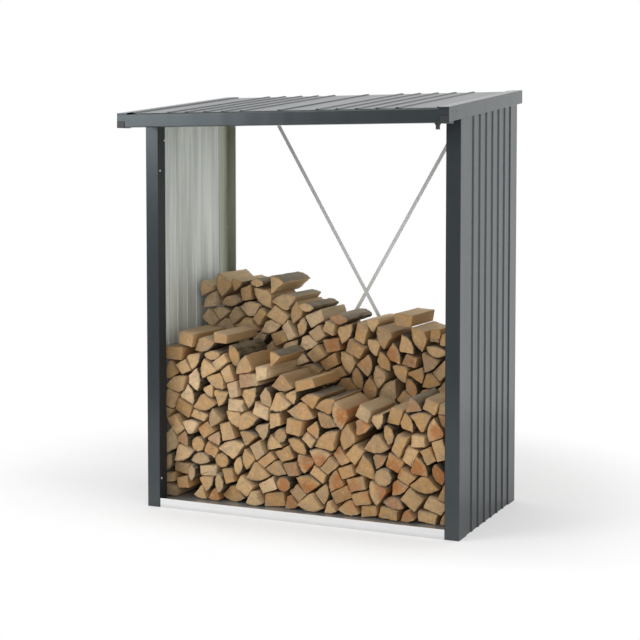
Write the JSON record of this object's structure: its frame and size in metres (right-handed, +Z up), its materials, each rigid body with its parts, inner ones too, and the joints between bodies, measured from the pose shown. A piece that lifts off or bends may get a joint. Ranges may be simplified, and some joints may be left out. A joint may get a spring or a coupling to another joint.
{
  "type": "log store",
  "caption": "Free-standing sheet-metal log store with ribbed side walls, a pent roof draining to a front gutter, crossed rear braces and two rows of stacked split firewood.",
  "frame": {"origin": "on the ground, at the centre of the overall box in plan", "axes": "+Z up, +X to the right and +Y to the back as seen from the open front"},
  "size_m": [1.57, 1.0426, 1.944],
  "materials": {
    "painted_steel": "satin",
    "painted_sheet": "satin",
    "galvanised_steel": "satin",
    "bare_aluminium": "satin",
    "grey_plastic": "matte",
    "black_plastic": "matte",
    "split_wood": "matte"
  },
  "bodies": {
    "root": {"front_sill": "bare_aluminium", "rear_sill": "bare_aluminium", "left_base_rail": "bare_aluminium", "right_base_rail": "bare_aluminium", "floor_sheet": "galvanised_steel", "front_left_post": "painted_steel", "front_right_post": "painted_steel", "rear_left_post": "painted_steel", "rear_right_post": "painted_steel", "left_wall_sheet": "painted_sheet", "right_wall_sheet": "painted_sheet", "left_rafter": "galvanised_steel", "right_rafter": "galvanised_steel", "front_lintel": "galvanised_steel", "rear_lintel": "galvanised_steel", "left_roof_sheet": "painted_sheet", "right_roof_sheet": "painted_sheet", "left_verge_board": "painted_steel", "right_verge_board": "painted_steel", "verge_ends": "painted_steel", "rear_roof_trim": "painted_steel", "gutter": "painted_steel", "gutter_left_cap": "grey_plastic", "gutter_right_cap": "grey_plastic", "rain_outlet": "black_plastic", "falling_brace": "galvanised_steel", "rising_brace": "galvanised_steel", "brace_spacers": "galvanised_steel", "front_log_row": "split_wood", "rear_log_row": "split_wood"}
  },
  "joints": []
}
